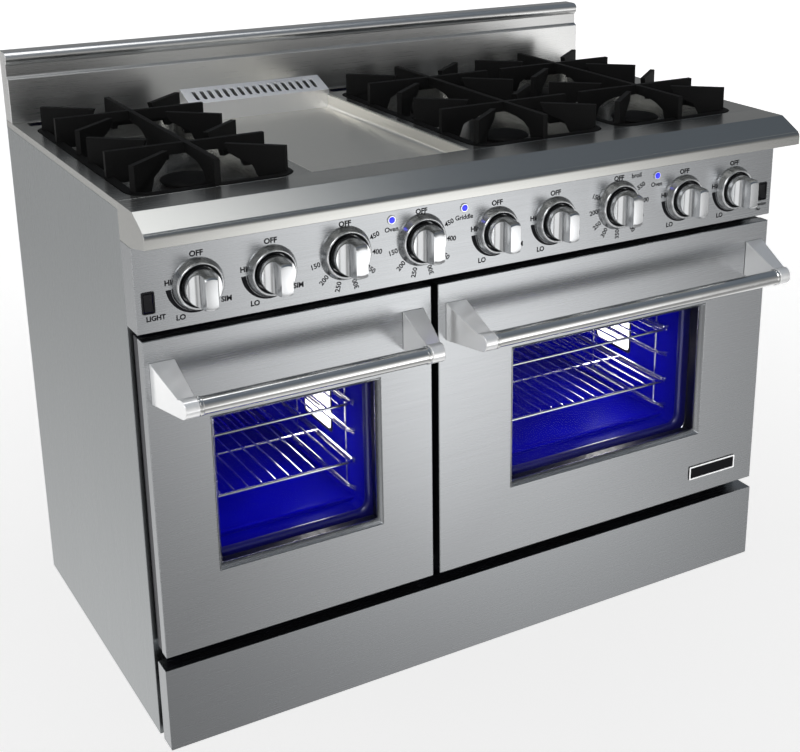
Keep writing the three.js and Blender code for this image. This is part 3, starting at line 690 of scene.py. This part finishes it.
def knob_mesh():
    """A turned knob with a hollow scooped from each side, which leaves an upright blade."""
    radius, tip, front, skirt = 28.5, 26.5, -52, -20
    profile = [(radius - 1.2, 0), (radius, -1.2), (radius, skirt), (radius - 0.8, skirt - 1.5)]
    profile += [(tip + 0.6, front + 12), (tip, front + 6), (tip - 1.4, front + 2.2)]
    profile += [(tip - 4, front + 0.4), (tip - 8, front)]
    body = solid("knob_blank", Shape().turned(profile, (0, 0, 0), "y", 72))
    half, scoop = 9.3, 15
    floor, clear, far = skirt - 2, front - 10, half + scoop + 20
    bend = arc(half + scoop, floor - scoop, scoop, 180, 90, 12)
    outline = [(half, clear), *bend, (far, floor), (far, clear)]
    cutters = []
    for side in (-1, 1):
        cutter = Shape().prism([(side * u, v) for u, v in outline], "z", -45, 45)
        cutters.append(solid(f"knob_cutter_{side}", cutter))
    for cutter in cutters:
        saw = body.modifiers.new("saw", "BOOLEAN")
        saw.operation = "DIFFERENCE"
        saw.solver = "EXACT"
        saw.object = cutter
    bpy.context.view_layer.update()
    mesh = bpy.data.meshes.new_from_object(body.evaluated_get(bpy.context.evaluated_depsgraph_get()))
    for blank in (body, *cutters):
        bpy.data.objects.remove(blank)
    return mesh


def build_knobs():
    """Each control: a fixed dished bezel, a black ring as painted shade in the gap inside it, and the knob
    itself.
    """
    front = extent("control_panel")[0].y
    grip = knob_mesh()
    bezel = [(32.4, 0), (BEZEL_RADIUS, 0), (BEZEL_RADIUS + 0.5, -1.4), (BEZEL_RADIUS - 0.4, -3.2)]
    bezel += [(37.0, -10.5), (36.2, -12.6), (35.2, -13.7), (34.2, -BEZEL_DEPTH)]
    bezel += [(33.2, -13.4), (32.6, -12), (32.4, -6)]
    gap = [(29.6, -0.2), (32.3, -0.2), (32.3, -8), (31.2, -8.6), (29.8, -8)]
    for name in (*BURNER_KNOBS, *THERMOSTATS):
        at = middle(f"{name}_knob")
        scale = 1.0 if name in BURNER_KNOBS else 1.06
        centre = (at.x, front, at.z)
        ring = Shape().turned([(r * scale, y) for r, y in bezel], centre, "y", 64, True)
        make(f"{name}_bezel", ring, KNOB_CHROME, "root", sharp=50)
        # A black ring in the gap between bezel and knob: painted shade where the panel's hole lies in
        # shadow.
        dark = Shape().turned([(r * scale, y) for r, y in gap], centre, "y", 48, True)
        make(f"{name}_bezel_gap_shade", dark, BLACK_PLASTIC, "root")
        mesh = grip.copy()
        mesh.transform(Matrix.Diagonal((scale, 1, scale, 1)))
        mesh.materials.clear()
        mesh.materials.append(KNOB_CHROME)
        obj = bpy.data.objects.new(f"{name}_grip", mesh)
        obj.location = Vector((at.x, front - 5, at.z)) * MM
        bpy.context.scene.collection.objects.link(obj)
        settle(obj, f"{name}_knob", 0.7, 3, [f"{name}_knob"], sharp=28)


# ---- Doors ----


def build_handles():
    """A bar held by two posts that slope down from the door and lean in to the bar's ends."""
    width, lean, nose_radius, bar_radius = 39, 17, 15, 13.6
    steps = ((-1, 1.6), (0.3, 1.6), (1.3, 2.8), (1.3, 5.4), (0.3, 6.6), (-1, 6.6))
    for side in OVENS:
        lo, hi = extent(f"{side}_door_handle")
        bar_y = lo.y + nose_radius
        bar_z = lo.z + 21
        outline = [(hi.y, lo.z), (hi.y, hi.z)] + arc(bar_y, bar_z, nose_radius, 63, 270, 18)
        shape = Shape()
        for outer, inward in ((lo.x, 1), (hi.x, -1)):
            leaning = [(outer + inward * lean * (hi.y - y) / (hi.y - lo.y), y, z) for y, z in outline]
            square = [(outer + inward * width, y, z) for y, z in outline]
            shape.loft([leaning, square])
        make(f"{side}_handle_posts", shape, LIT_POST_STEEL, f"{side}_door", 1.3, 3,
             [f"{side}_door_handle"], sharp=25)
        ends = [(bar_radius, lo.x + width - 0.5), (bar_radius, hi.x - width + 0.5)]
        bar = Shape().turned(ends, (0, bar_y, bar_z), "x", 48)
        make(f"{side}_handle_bar", bar, CHROME, f"{side}_door")
        for end, x, inward in (("a", lo.x + width, 1), ("b", hi.x - width, -1)):
            collar = [(bar_radius + rise, along * inward) for rise, along in steps]
            ring = Shape().turned(collar, (x, bar_y, bar_z), "x", 48, True)
            make(f"{side}_handle_collar_{end}", ring, CHROME, f"{side}_door")


def build_window_frames():
    """A narrow steel frame let into each window, its face sloping in to the glass."""
    lap = 8
    for side in OVENS:
        front = extent(f"{side}_door_skin")[0].y
        lo, hi = extent(f"{side}_door_glass")
        rings = []
        for inset, y in ((0.1, 0.4), (0.9, -0.3), (6.6, 8), (7, 11.6), (0.1, 11.6)):
            grow = inset + lap
            outline = rounded(lo.x + grow, hi.x - grow, lo.z + grow, hi.z - grow, 1.5, 3)
            rings.append([(u, front + y, v) for u, v in outline])
        make(f"{side}_window_frame", Shape().loft(rings, True), FRONT_STEEL, f"{side}_door",
             sharp=40)


def build_badge():
    """A blank plate low on the right door: dark face, pale border."""
    lo, hi = extent("right_door_skin")
    width, height = 113, 28
    x0, z0 = hi.x - 46 - width, lo.z + 33.5
    x1, z1 = x0 + width, z0 + height
    plate = Shape().prism(rounded(x0, x1, z0, z1, 2, 4), "y", lo.y - 2.2, lo.y)
    make("badge_plate", plate, INK, "right_door", 0.5)
    rings = []
    for inset, y in ((0.2, -2.0), (0.6, -2.7), (3.0, -2.7), (3.2, -2.0)):
        outline = rounded(x0 + inset, x1 - inset, z0 + inset, z1 - inset, 1.4, 4)
        rings.append([(u, lo.y + y, v) for u, v in outline])
    make("badge_border", Shape().loft(rings, True), PALE_INK, "right_door")


# ---- Ovens ----

CAVITY_FLOOR = 314
CAVITY_ROOF = 665
CAVITY_DEPTH = 520
RING_WIDTH = 20
RUNNERS = 5
RUNNER_PITCH = 53.75


def cavity(side):
    """The oven's inner side walls, from the rack that fits it with 3 mm to spare each side."""
    lo, hi = extent(f"{side}_upper_rack")
    return lo.x - 3, hi.x + 3


def build_liner(side):
    """The blue shell with its rolled mouth, and the black frame that closes the cabinet round it."""
    x0, x1 = cavity(side)
    flange_lo, flange_hi = extent(f"{side}_oven_liner")
    mouth = flange_lo.y
    skin, curl, corner = 2.6, 8, 14

    def loop(grow, radius):
        return rounded(x0 - grow, x1 + grow, CAVITY_FLOOR - grow, CAVITY_ROOF + grow, radius, 8)

    def ring(grow, radius, y):
        return [(u, mouth + y, v) for u, v in loop(grow, radius)]

    rings = [ring(skin, 20, 8), ring(skin, 20, 4), ring(RING_WIDTH, 25, 4), ring(RING_WIDTH, 25, -1)]
    for t in (0, 0.35, 0.7, 1.05, 1.35, 1.57):
        rings.append(ring(curl - curl * math.sin(t), 20 - 2 * t, -1 + curl - curl * math.cos(t)))
    rings.append(ring(0, 18, 8))
    make(f"{side}_oven_mouth", Shape().loft(rings, True), SHADED_MOUTH_ENAMEL, "root", sharp=60)

    rings = [ring(skin, 16, CAVITY_DEPTH + skin), ring(skin, 20, 8), ring(0, 18, 8), ring(0, 18, 60)]
    rings.append(ring(0, 16, CAVITY_DEPTH - corner))
    for t in (0.5, 1.0, 1.57):
        rings.append(ring(-corner + corner * math.cos(t), 16, CAVITY_DEPTH - corner + corner * math.sin(t)))
    make(f"{side}_oven_shell", Shape().loft(rings), GLOWING_BLUE_ENAMEL, "root",
         replaces=[f"{side}_oven_liner"], sharp=60)

    edge = RING_WIDTH + 1.2
    hole = loop(edge, 26)
    outer = rounded(flange_lo.x, flange_hi.x, flange_lo.z, flange_hi.z, 2, 8)
    steps = ((hole, 3), (hole, 0), (outer, 0), (outer, 3))
    rings = [[(u, mouth + y, v) for u, v in outline] for outline, y in steps]
    make(f"{side}_oven_frame", Shape().loft(rings, True), BLACK_ENAMEL, "root")

    bead = Shape().tube(ring(edge, 26, -0.8), 1.3, 8, True)
    make(f"{side}_oven_bead", bead, WIRE_CHROME, "root")
    rope = Shape().tube(ring(edge + 11, 34, -4.2), 4.2, 10, True)
    make(f"{side}_oven_gasket", rope, ROPE, "root")


def build_floor_panel(side):
    """The lift-out floor: a tray with a raised front lip."""
    x0, x1 = cavity(side)
    mouth = extent(f"{side}_oven_liner")[0].y
    front, back, base = mouth + 39, mouth + CAVITY_DEPTH - 18, CAVITY_FLOOR
    outline = [(front, base + 1), (front, base + 7)] + arc(front + 3, base + 7, 3, 180, 90, 4)
    outline += [(front + 9, base + 10), (front + 14, base + 5), (back, base + 5), (back, base + 1)]
    shape = Shape().prism(outline, "x", x0 + 4, x1 - 4)
    make(f"{side}_oven_floor", shape, GLOWING_BLUE_ENAMEL, "root", 1.2, 3, sharp=25)


def build_runners(side):
    """Wire runners down each side wall, bent up and back at the front so that a rack can start on them."""
    x0, x1 = cavity(side)
    mouth = extent(f"{side}_oven_liner")[0].y
    lower = extent(f"{side}_lower_rack")[0].z - 2.8
    bottom, top = lower - RUNNER_PITCH, lower + (RUNNERS - 1) * RUNNER_PITCH
    wire, start, end = 2.4, mouth + 30, mouth + 478
    for wall, inward, name in ((x0, 1, "a"), (x1, -1, "b")):
        near, far = wall + inward * (wire + 0.3), wall + inward * 9
        shape = Shape()
        for i in range(RUNNERS):
            z = bottom + i * RUNNER_PITCH
            path = [(near, start, z + 9), (near, start + 28, z), (near, start + 32, z)]
            path += [(near, end, z), (far, end, z), (far, start + 30, z), (near, start + 4, z)]
            shape.tube(bent(path, 8), wire, 8)
        x = wall + inward * 2.2
        for y in (start + 40, start + 240, end - 10):
            shape.tube([(x, y, bottom - 6), (x, y, top)], 2, 8)
        make(f"{side}_oven_runners_{name}", shape, WIRE_CHROME, "root")


def build_rack(side, level):
    """A rack of plated wire: a round frame, cross bars under it and wires laid front to back."""
    node = f"{side}_{level}_rack"
    lo, hi = extent(node)
    rail, wire, pitch = 2.75, 1.8, 24
    x0, x1 = lo.x + rail, hi.x - rail
    y0, y1 = lo.y + rail, hi.y - rail
    z = lo.z + rail
    loop = rounded(x0, x1, y0, y1, 14, 6)
    shape = Shape().tube([(u, v, z) for u, v in loop], rail, 10, True)
    for part in (0.33, 0.67):
        y = y0 + (y1 - y0) * part
        shape.tube([(x0, y, z), (x1, y, z)], 2.4, 8)
    count = int((x1 - x0 - 2 * rail) // pitch)
    top = hi.z - wire
    for i in range(count):
        x = (x0 + x1) / 2 + (i - (count - 1) / 2) * pitch
        path = [(x, y0 - 1.6, z + 1), (x, y0 + 2, top), (x, y1 - 2, top), (x, y1 + 1.6, z + 1)]
        shape.tube(bent(path, 3, 3), wire, 8)
    make(f"{node}_wires", shape, WIRE_CHROME, node, replaces=[node])


def build_lamp(side):
    """The lamp in the right-hand wall: a ribbed lens in a dark rim, and the light it gives."""
    wall = cavity(side)[1]
    mouth = extent(f"{side}_oven_liner")[0].y
    y0, y1, power = (132, 236, 0.2) if side == "left" else (156, 259, 0.3)
    z0, z1 = 410, 515

    def ring(grow, x, radius):
        outline = rounded(y0 - grow, y1 + grow, z0 - grow, z1 + grow, radius, 5)
        return [(wall + x, mouth + u, v) for u, v in outline]

    rings = [ring(grow, x, 8) for grow, x in ((0, 1), (0, -0.8), (-3, -1.6), (-8, -1.9))]
    make(f"{side}_oven_lamp_lens", Shape().loft(rings), LAMP, "root")
    rings = [ring(grow, x, 9) for grow, x in ((0.5, 0.5), (0.5, -1.2), (5, -1.2), (6, 0.5))]
    make(f"{side}_oven_lamp_rim", Shape().loft(rings, True), BLACK_ENAMEL, "root")
    centre = Vector((wall - 14, mouth + (y0 + y1) / 2, (z0 + z1) / 2))
    aim = centre * MM + Vector((-1, -0.25, -0.2))
    area_light(f"{side}_oven_light", centre * MM, aim, 0.09, power, (1.0, 0.95, 0.88))


def build_fan_guard():
    """Wire rings and spokes in front of the convection fan, turned back round its rim."""
    lo, hi = extent("convection_fan")
    cx, cz, y = (lo.x + hi.x) / 2, (lo.z + hi.z) / 2, lo.y - 3
    hub, reach, rings, spokes = 8, (hi.x - lo.x) / 2 + 6, 6, 6
    shape = Shape()
    for i in range(rings):
        loop = arc(cx, cz, reach * (i + 1) / rings, 0, 352, 44)
        shape.tube([(u, y, v) for u, v in loop], 1.3, 6, True)
    for i in range(spokes):
        turn = math.tau * (i + 0.5) / spokes
        inner = (cx + hub * math.cos(turn), y + 1.5, cz + hub * math.sin(turn))
        outer = (cx + reach * math.cos(turn), y + 1.5, cz + reach * math.sin(turn))
        back = (outer[0], hi.y - 1, outer[2])
        shape.tube(bent([inner, outer, back], 5), 1.5, 6)
    make("fan_guard", shape, WIRE_CHROME, "root")


# ---- Burners ----


def build_burner(column, row):
    """An open burner: a flared base, a ported head, a domed cap and the spark electrode beside it."""
    node = f"{column}_{row}_burner"
    lo, hi = extent(node)
    centre = Vector(((lo.x + hi.x) / 2, (lo.y + hi.y) / 2, lo.z + 22))
    profile = [(12, -22), (12, -1), (14, 0.5), (40, 0.5), (42.4, 1.8)]
    profile += [(43, 4), (40, 6.2), (36, 8.6), (34, 8.6)]
    base = Shape().turned(profile, centre, "z", 48)
    make(f"{node}_base", base, BURNER_IRON, "root", replaces=[node])
    steps = 4 * 36
    rings = []
    for z, port in ((7.5, 0), (8.6, 2.6), (12.4, 2.6), (13.2, 0)):
        ring = []
        for i in range(steps):
            turn = math.tau * i / steps
            r = 38.4 - (port if i % 4 in (0, 1) else 0)
            ring.append((centre.x + r * math.cos(turn), centre.y + r * math.sin(turn), centre.z + z))
        rings.append(ring)
    make(f"{node}_head", Shape().loft(rings), BURNER_IRON, "root", sharp=25)
    profile = [(30, 12.8), (42.5, 12.8), (43.8, 13.8), (43.6, 15.4)]
    profile += [(41.5, 17.2), (36, 18.6), (24, 19.6), (10, 19.9)]
    cap = Shape().turned(profile, centre, "z", 56)
    make(f"{node}_cap", cap, IRON, "root", sharp=50)
    foot = (centre.x + 47, centre.y + 10, centre.z)
    spark = Shape().turned([(2.6, 0), (2.6, 9), (1.9, 10), (1.9, 13)], foot, "z", 14)
    make(f"{node}_igniter", spark, PALE_INK, "root")


# ---- Small fittings ----


def build_flue_shade_trays():
    """A dark tray under each vent slot, where the hot air turns up out of the cabinet; its black is painted
    shade down the flue.
    """
    openings = {gap["name"]: gap["box_m"] for gap in frame["record"]["physics"]["openings"]}
    for column in COLUMNS:
        lo, hi = [Vector(corner) / MM for corner in openings[f"{column}_flue_vent"]]
        lip, wall = 5, 1
        top, bottom = lo.z - 6, lo.z - 26
        front, back = lo.y - lip, hi.y + lip
        outline = [(front + wall, top), (front + wall, bottom + wall), (back - wall, bottom + wall)]
        outline += [(back - wall, top), (back, top), (back, bottom), (front, bottom), (front, top)]
        tray = Shape().prism(outline, "x", lo.x - lip, hi.x + lip)
        # Black enamel here is painted shade: the flue under the vents is dark only because little light
        # reaches it.
        make(f"{column}_flue_shade_tray", tray, BLACK_ENAMEL, "root")


def build_screws():
    """Flat screw heads up the edges and the middle of the rear panel."""
    lo, hi = extent("rear_panel")
    shape = Shape()
    head = [(4.2, 0), (4.2, 0.075), (3.6, 0.35), (2.2, 0.475)]
    margin, first, pitch = 11, 60, 200
    for x in (lo.x + margin, 0.0, hi.x - margin):
        for z in range(first, int(hi.z), pitch):
            shape.turned(head, (x, hi.y - 0.5, z), "y", 18)
    make("rear_screws", shape, FOOT_STEEL, "root")


def build_foot_nuts():
    """A hexagonal lock nut on each levelling foot, against the base pan."""
    profile = [(8.5, 0), (9.2, 0.8), (9.2, 6.2), (8.5, 7)]
    base = extent("base_pan")[0].z + 2
    for end in ("front", "rear"):
        for side in OVENS:
            node = f"{end}_{side}_foot"
            at = middle(node)
            shape = Shape().turned(profile, (at.x, at.y, base), "z", 6)
            make(f"{node}_nut", shape, FOOT_STEEL, "root", 0.3)


# ---- Studio ----


def area_light(name, place, aim, size, power, colour=(1, 1, 1)):
    """A square lamp, in metres and watts, that faces aim."""
    data = bpy.data.lights.new(name, "AREA")
    data.shape = "SQUARE"
    data.size = size
    data.energy = power
    data.color = colour
    light = bpy.data.objects.new(name, data)
    light.location = place
    light.rotation_euler = (Vector(aim) - Vector(place)).to_track_quat("-Z", "Y").to_euler()
    bpy.context.scene.collection.objects.link(light)


def build_floor():
    """A pale floor that curves up into a wall far off; the steel reflects the sky and not the floor."""
    steps, reach, curve, top = 96, 12, 2, 7
    profile = [(reach + u, z) for u, z in arc(0, curve, curve, -90, 0, 5)] + [(reach + curve, top)]
    turns = [math.tau * i / steps for i in range(steps)]
    verts = [(radius * math.cos(t), radius * math.sin(t), z) for radius, z in profile for t in turns]
    faces = [tuple(range(steps))]
    for k in range(len(profile) - 1):
        for i in range(steps):
            j = (i + 1) % steps
            faces.append((k * steps + i, k * steps + j, (k + 1) * steps + j, (k + 1) * steps + i))
    floor = bpy.data.meshes.new("floor")
    floor.from_pydata(verts, [], faces)
    floor.shade_smooth()
    plaster = Paint("floor_plaster")
    plaster.set(plaster.ramp(plaster.noise(3, 3), [(0.3, 0.78), (0.7, 0.80)]))
    plaster.shader.inputs["Emission Color"].default_value = (1, 1, 1, 1)
    plaster.shader.inputs["Emission Strength"].default_value = 0.85
    plaster.shader.inputs["Roughness"].default_value = 0.9
    floor.materials.append(plaster.material)
    slab = bpy.data.objects.new("floor", floor)
    slab.visible_glossy = False
    bpy.context.scene.collection.objects.link(slab)


class Sky(Wiring):
    """The world's colour being wired from the direction looked in."""

    def __init__(self):
        world = bpy.data.worlds.new("studio")
        world.use_nodes = True
        bpy.context.scene.world = world
        super().__init__(world.node_tree)
        self.direction = self.node("ShaderNodeTexCoord").outputs["Generated"]

    def along(self, axis, stops):
        """How far the direction points along an axis, from -1 to 1, mapped through stops."""
        dot = self.node("ShaderNodeVectorMath", operation="DOT_PRODUCT")
        self.link(self.direction, dot.inputs[0])
        dot.inputs[1].default_value = Vector(axis).normalized()
        scale = self.node("ShaderNodeMapRange")
        scale.inputs["From Min"].default_value = -1
        self.link(dot.outputs["Value"], scale.inputs["Value"])
        return self.ramp(scale.outputs["Result"], [((place + 1) / 2, shade) for place, shade in stops])

    def product(self, *factors):
        """Colours multiplied together."""
        colour = factors[0]
        for factor in factors[1:]:
            colour = self.mix(1, colour, factor, "MULTIPLY")
        return colour


def build_sky():
    """What the steel mirrors: dim air, a pale floor that is brighter behind, and soft glows round it."""
    sky = Sky()
    up = (0, 0, 1)
    above = [(0.1, (0.22, 0.22, 0.22)), (0.35, (0.19, 0.195, 0.20))]
    above += [(0.6, (0.11, 0.13, 0.155)), (1.0, (0.16, 0.18, 0.21))]
    low_front = [(-1, 0.9), (-0.85, 0.55), (-0.7, 0.3), (-0.5, 0.26), (-0.3, 0.34), (-0.05, 0.32)]
    low_rear = [(-1, 0.9), (-0.52, 0.85), (-0.4, 0.66), (-0.28, 0.44), (0, 0.28)]
    facing = sky.along((0, 1, 0), [(-0.2, 0.0), (0.2, 1.0)])
    colour = sky.mix(facing, sky.along(up, low_front + above), sky.along(up, low_rear + above))

    bank = [(-0.6, 0.0), (-0.5, 0.12), (-0.42, 0.75), (-0.32, 1.0), (-0.2, 0.5), (0, 0.3), (0.3, 0.0)]
    rising = sky.along(up, bank)
    sideways = sky.along((0.875, 0.485, 0), [(-0.2, 0.0), (-0.06, 1.0), (0.07, 1.0), (0.21, 0.0)])
    ahead = sky.along((0.485, -0.875, 0), [(0.0, 0.0), (0.2, 1.0)])
    narrow = sky.product(sideways, ahead, rising)
    for strength in (1.0, 1.0, 0.4):  # in steps, because a mix factor stops at 1
        colour = sky.mix(strength, colour, narrow, "ADD")

    across = sky.along((1, 0, 0), [(-0.85, 0.0), (-0.7, 1.0), (0.0, 1.0), (0.14, 0.0)])
    onward = sky.along((0, -1, 0), [(0.2, 0.0), (0.5, 1.0)])
    broad = sky.product(across, onward, rising)
    leftward = sky.along((-0.7, 0.7, 0), [(0.9, 0.0), (0.95, 0.9)])
    flanks = sky.along((1, 0, 0), [(-0.96, 0.35), (-0.88, 0.0), (0.88, 0.0), (0.96, 0.35)])
    for glow in (broad, leftward, flanks):
        colour = sky.mix(1, colour, glow, "ADD")
    sky.link(colour, sky.tree.nodes["Background"].inputs["Color"])


def build_lights():
    area_light("key_box", (-2.2, -3.4, 3.6), (0, 0, 0.5), 2.6, 70)
    area_light("top_box", (-0.2, 0.2, 4.2), (0, 0, 0.5), 2.4, 30)


def build_camera():
    data = bpy.data.cameras.new("main_camera")
    data.lens = 63.17
    data.sensor_width = 36
    data.shift_x = -0.0847
    data.shift_y = -0.1293
    camera = bpy.data.objects.new("main_camera", data)
    camera.location = (-1.1802, -2.1481, 1.4609)
    camera.rotation_euler = (1.24413, -0.00047, -0.54492)
    bpy.context.scene.collection.objects.link(camera)
    bpy.context.scene.camera = camera
    bpy.context.scene.view_settings.view_transform = "Standard"


build_camera()
build_floor()
build_sky()
build_lights()
dress_cabinet()
build_ledge()
build_backguard()
build_griddle()
build_knobs()
build_panel_marks()
build_indicators()
build_switch_frames()
build_handles()
build_window_frames()
build_badge()
for oven in OVENS:
    build_liner(oven)
    build_floor_panel(oven)
    build_runners(oven)
    build_lamp(oven)
    for level in ("upper", "lower"):
        build_rack(oven, level)
build_fan_guard()
for column in COLUMNS:
    for row in ("front", "rear"):
        build_burner(column, row)
build_flue_shade_trays()
build_screws()
build_foot_nuts()
